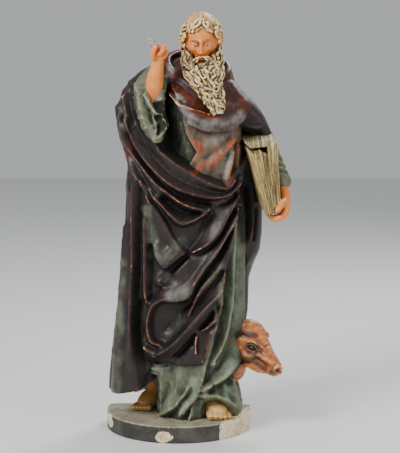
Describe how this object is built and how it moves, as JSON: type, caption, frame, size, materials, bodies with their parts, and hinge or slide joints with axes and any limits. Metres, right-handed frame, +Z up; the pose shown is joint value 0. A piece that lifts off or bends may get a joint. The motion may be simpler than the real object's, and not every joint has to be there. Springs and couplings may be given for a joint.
{
  "type": "terracotta saint statue",
  "caption": "Standing bearded saint in painted terracotta with a hand raised, a closed book under the other arm and an ox at the side, on a half-round base.",
  "frame": {"origin": "middle of the flat underside of the base", "axes": "+Z up, +X to the figure's left (the viewer's right), -Y to the figure's front"},
  "size_m": [0.3509, 0.1844, 0.7995],
  "materials": {
    "painted_terracotta": "fired clay, painted in brown, red-brown, grey-green, cream and flesh colours, semi-gloss, worn along the fold edges and chipped at the base"
  },
  "bodies": {
    "root": {"statue": "painted_terracotta"}
  },
  "joints": []
}
